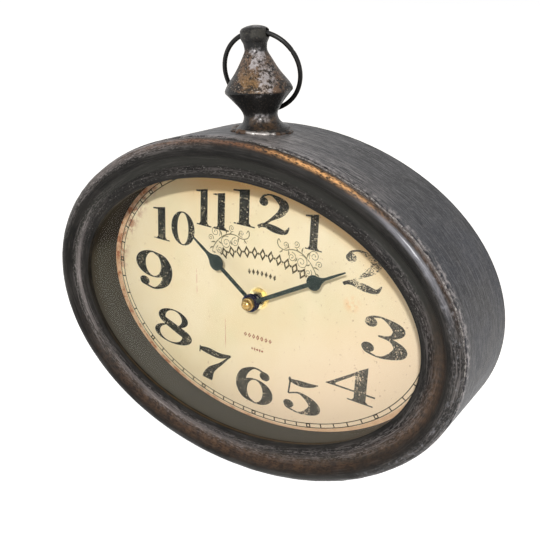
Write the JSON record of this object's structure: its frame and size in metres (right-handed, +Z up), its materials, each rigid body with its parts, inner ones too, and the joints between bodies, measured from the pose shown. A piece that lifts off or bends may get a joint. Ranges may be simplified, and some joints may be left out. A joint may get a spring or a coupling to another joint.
{
  "type": "oval table clock",
  "caption": "Wide oval metal table clock with a moulded bezel, deep-set cream dial, spade hands, quartz movement and a turned finial carrying a wire ring.",
  "frame": {"origin": "on the table under the middle of the case, midway through its depth", "axes": "+X to the right of the dial as seen from the front, -Y out of the dial, +Z up"},
  "size_m": [0.3, 0.07, 0.2799],
  "materials": {
    "aged_metal": "antiqued dark bronze over sheet steel",
    "black_wire": "blackened wire",
    "clear_glass": "clear",
    "surround_paint": "matt grey-olive paint",
    "dial_print": "aged cream print",
    "hardboard": "brown hardboard",
    "zinc_steel": "zinc plated",
    "back_paint": "matt black paint",
    "black_rubber": "matt",
    "plain_brass": "polished, a little tarnished",
    "case_plastic": "black moulded",
    "wheel_plastic": "off-white moulded",
    "hand_paint": "satin green-black paint",
    "magnet": "sintered",
    "lamination": "soft iron sheet",
    "copper_wire": "enamelled copper",
    "circuit_green": "green laminate",
    "nickel": "nickel plated",
    "cell_sleeve": "plain printed sleeve"
  },
  "bodies": {
    "case": {"case_band": "aged_metal", "bezel": "aged_metal", "finial": "aged_metal", "glass": "clear_glass", "dial_surround": "surround_paint", "dial_paper": "dial_print", "dial_board": "hardboard", "dial_tabs": "zinc_steel", "panel_tabs": "zinc_steel", "panel_screws": "zinc_steel", "back_panel": "back_paint", "feet": "black_rubber", "front_housing": "case_plastic", "rear_housing": "case_plastic", "mounting_gasket": "black_rubber", "mounting_washer": "plain_brass", "mounting_nut": "plain_brass", "train_plate": "case_plastic", "stator": "lamination", "coil_core": "lamination", "coil_bobbin": "case_plastic", "coil_winding": "copper_wire", "circuit_board": "circuit_green", "crystal": "nickel", "contact_negative": "nickel", "contact_positive": "nickel"},
    "minute": {"minute_hand": "hand_paint", "minute_arbor": "plain_brass", "cap_nut": "plain_brass"},
    "hour": {"hour_hand": "hand_paint", "hour_wheel": "wheel_plastic"},
    "motion": {"motion_wheel": "wheel_plastic"},
    "setting": {"setting_gear": "wheel_plastic", "setting_knob": "case_plastic"},
    "second": {"second_wheel": "wheel_plastic"},
    "third": {"third_wheel": "wheel_plastic"},
    "centre": {"centre_wheel": "wheel_plastic", "slip_spring": "plain_brass"},
    "intermediate": {"intermediate_wheel": "wheel_plastic"},
    "rotor_body": {"rotor": "wheel_plastic", "rotor_magnet": "magnet"},
    "bow": {"bow_ring": "black_wire"},
    "power_cell": {"cell": "cell_sleeve"}
  },
  "joints": [
    {"name": "minute_turn", "type": "hinge", "parent": "case", "child": "minute", "pos_m": [0, 0.0117, 0.11], "axis": [0, 1, 0], "continuous": true},
    {"name": "hour_turn", "type": "hinge", "parent": "case", "child": "hour", "pos_m": [0, 0.0117, 0.11], "axis": [0, 1, 0], "continuous": true},
    {"name": "motion_turn", "type": "hinge", "parent": "case", "child": "motion", "pos_m": [-0.00848, 0.0117, 0.11848], "axis": [0, 1, 0], "continuous": true},
    {"name": "setting_turn", "type": "hinge", "parent": "case", "child": "setting", "pos_m": [-0.02008, 0.0117, 0.12159], "axis": [0, 1, 0], "continuous": true},
    {"name": "second_turn", "type": "hinge", "parent": "case", "child": "second", "pos_m": [0, 0.0117, 0.11], "axis": [0, 1, 0], "continuous": true},
    {"name": "third_turn", "type": "hinge", "parent": "case", "child": "third", "pos_m": [0.00581, 0.0117, 0.12005], "axis": [0, 1, 0], "continuous": true},
    {"name": "centre_turn", "type": "hinge", "parent": "case", "child": "centre", "pos_m": [0, 0.0117, 0.11], "axis": [0, 1, 0], "continuous": true},
    {"name": "intermediate_turn", "type": "hinge", "parent": "case", "child": "intermediate", "pos_m": [0.01136, 0.0117, 0.10696], "axis": [0, 1, 0], "continuous": true},
    {"name": "rotor_turn", "type": "hinge", "parent": "case", "child": "rotor_body", "pos_m": [0.01743, 0.0117, 0.11205], "axis": [0, 1, 0], "continuous": true},
    {"name": "bow_swing", "type": "hinge", "parent": "case", "child": "bow", "pos_m": [-0.00768, 0.003, 0.27491], "axis": [0.9766, 0.1908, 0.0992], "range_deg": [0, 325]},
    {"name": "cell_slide", "type": "slide", "parent": "case", "child": "power_cell", "axis": [0, 1, 0], "range_m": [0, 0.035]}
  ],
  "couplings": [
    {"joint": "hour_turn", "follows": "minute_turn", "ratio": 0.083333},
    {"joint": "motion_turn", "follows": "minute_turn", "ratio": -0.33333},
    {"joint": "setting_turn", "follows": "minute_turn", "ratio": 1},
    {"joint": "third_turn", "follows": "second_turn", "ratio": -0.13333},
    {"joint": "centre_turn", "follows": "second_turn", "ratio": 0.016667},
    {"joint": "intermediate_turn", "follows": "second_turn", "ratio": -6},
    {"joint": "rotor_turn", "follows": "second_turn", "ratio": 30}
  ]
}
